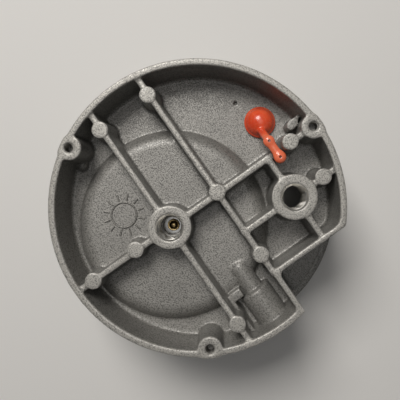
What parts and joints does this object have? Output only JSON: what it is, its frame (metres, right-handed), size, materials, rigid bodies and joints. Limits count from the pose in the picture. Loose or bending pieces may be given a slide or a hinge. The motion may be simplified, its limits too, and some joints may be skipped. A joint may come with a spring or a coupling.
{
  "type": "differential pressure gauge",
  "caption": "Round diaphragm-type differential pressure gauge in a ribbed die-cast case, with dial and pointer in front, tapped ports and mounting lugs behind, and a soft relief plug.",
  "frame": {"origin": "on the gauge's axis at the front face of the bezel, which it lies on face-down", "axes": "+Z to the rear of the gauge, +Y to twelve o'clock on the dial, +X to the right as seen from behind"},
  "size_m": [0.1206, 0.1206, 0.0556],
  "materials": {
    "hammertone_paint": "dark grey hammertone enamel on die-cast aluminium",
    "clear_acrylic": "clear polished plastic",
    "black_rubber": "moulded black rubber",
    "red_silicone": "glossy orange-red silicone",
    "grey_silicone": "matt grey silicone",
    "plated_steel": "zinc-plated steel",
    "spring_steel": "bright spring steel",
    "aluminium": "stamped aluminium",
    "brass": "turned brass",
    "white_enamel": "white enamel on aluminium",
    "jewel": "polished synthetic ruby",
    "magnet_alloy": "sintered magnet alloy"
  },
  "bodies": {
    "case": {"case": "hammertone_paint", "clear_cover": "clear_acrylic", "cover_o_ring": "black_rubber", "dial": "white_enamel", "dial_screw_1": "plated_steel", "dial_screw_2": "plated_steel", "front_bearing": "jewel", "rear_bearing": "jewel", "wishbone": "plated_steel", "wishbone_screw_1": "plated_steel", "wishbone_screw_2": "plated_steel", "lever_pivot_screw": "plated_steel", "pointer_stop_left": "black_rubber", "pointer_stop_right": "black_rubber", "spring_clamp_base": "aluminium", "spring_clamp_plate": "aluminium", "clamp_screw_1": "plated_steel", "clamp_screw_2": "plated_steel", "diaphragm": "grey_silicone", "sealing_plate": "plated_steel", "retaining_ring": "plated_steel", "retaining_screw_1": "plated_steel", "retaining_screw_2": "plated_steel", "retaining_screw_3": "plated_steel", "retaining_screw_4": "plated_steel"},
    "bezel": {"bezel": "hammertone_paint"},
    "pointer": {"pointer": "aluminium", "pointer_counterweight": "brass", "helix": "spring_steel", "helix_shaft": "plated_steel"},
    "range_spring": {"range_spring": "spring_steel", "magnet_bracket": "plated_steel", "magnet": "magnet_alloy"},
    "diaphragm_plates": {"diaphragm_link": "brass", "rear_diaphragm_plate": "aluminium", "front_diaphragm_plate": "aluminium"},
    "zero_screw": {"zero_adjust_screw": "plated_steel", "zero_screw_o_ring": "black_rubber"},
    "zero_lever": {"zero_lever": "spring_steel"},
    "relief_plug": {"relief_plug": "red_silicone"}
  },
  "joints": [
    {"name": "bezel_unscrew", "type": "hinge", "parent": "case", "child": "bezel", "pos_m": [0, 0, 0], "axis": [0, 0, 1], "range_deg": [0, 360]},
    {"name": "relief_plug_slide", "type": "slide", "parent": "case", "child": "relief_plug", "axis": [0, 0, 1], "range_m": [0, 0.012]},
    {"name": "pointer_swing", "type": "hinge", "parent": "case", "child": "pointer", "pos_m": [0, -0.022, 0], "axis": [0, 0, 1], "range_deg": [-2.5, 82]},
    {"name": "range_spring_flex", "type": "hinge", "parent": "case", "child": "range_spring", "pos_m": [0, 0.044, 0.02975], "axis": [1, 0, 0], "range_deg": [-0.1, 3], "stiffness_Nm_per_rad": 3},
    {"name": "diaphragm_stroke", "type": "slide", "parent": "case", "child": "diaphragm_plates", "axis": [0, 0, -1], "range_m": [-0.00006, 0.0017], "deforming": ["diaphragm"]},
    {"name": "zero_screw_turn", "type": "hinge", "parent": "case", "child": "zero_screw", "pos_m": [0, -0.043, 0], "axis": [0, 0, 1], "range_deg": [-90, 90]},
    {"name": "zero_lever_swing", "type": "hinge", "parent": "case", "child": "zero_lever", "pos_m": [0, -0.036, 0], "axis": [0, 0, 1], "range_deg": [-7.5, 7.5]}
  ],
  "couplings": [
    {"joint": "range_spring_flex", "follows": "pointer_swing", "ratio": 0.03642},
    {"joint": "diaphragm_stroke", "follows": "pointer_swing", "m_per_rad": 0.0011399},
    {"joint": "zero_lever_swing", "follows": "zero_screw_turn", "ratio": -0.0819}
  ]
}
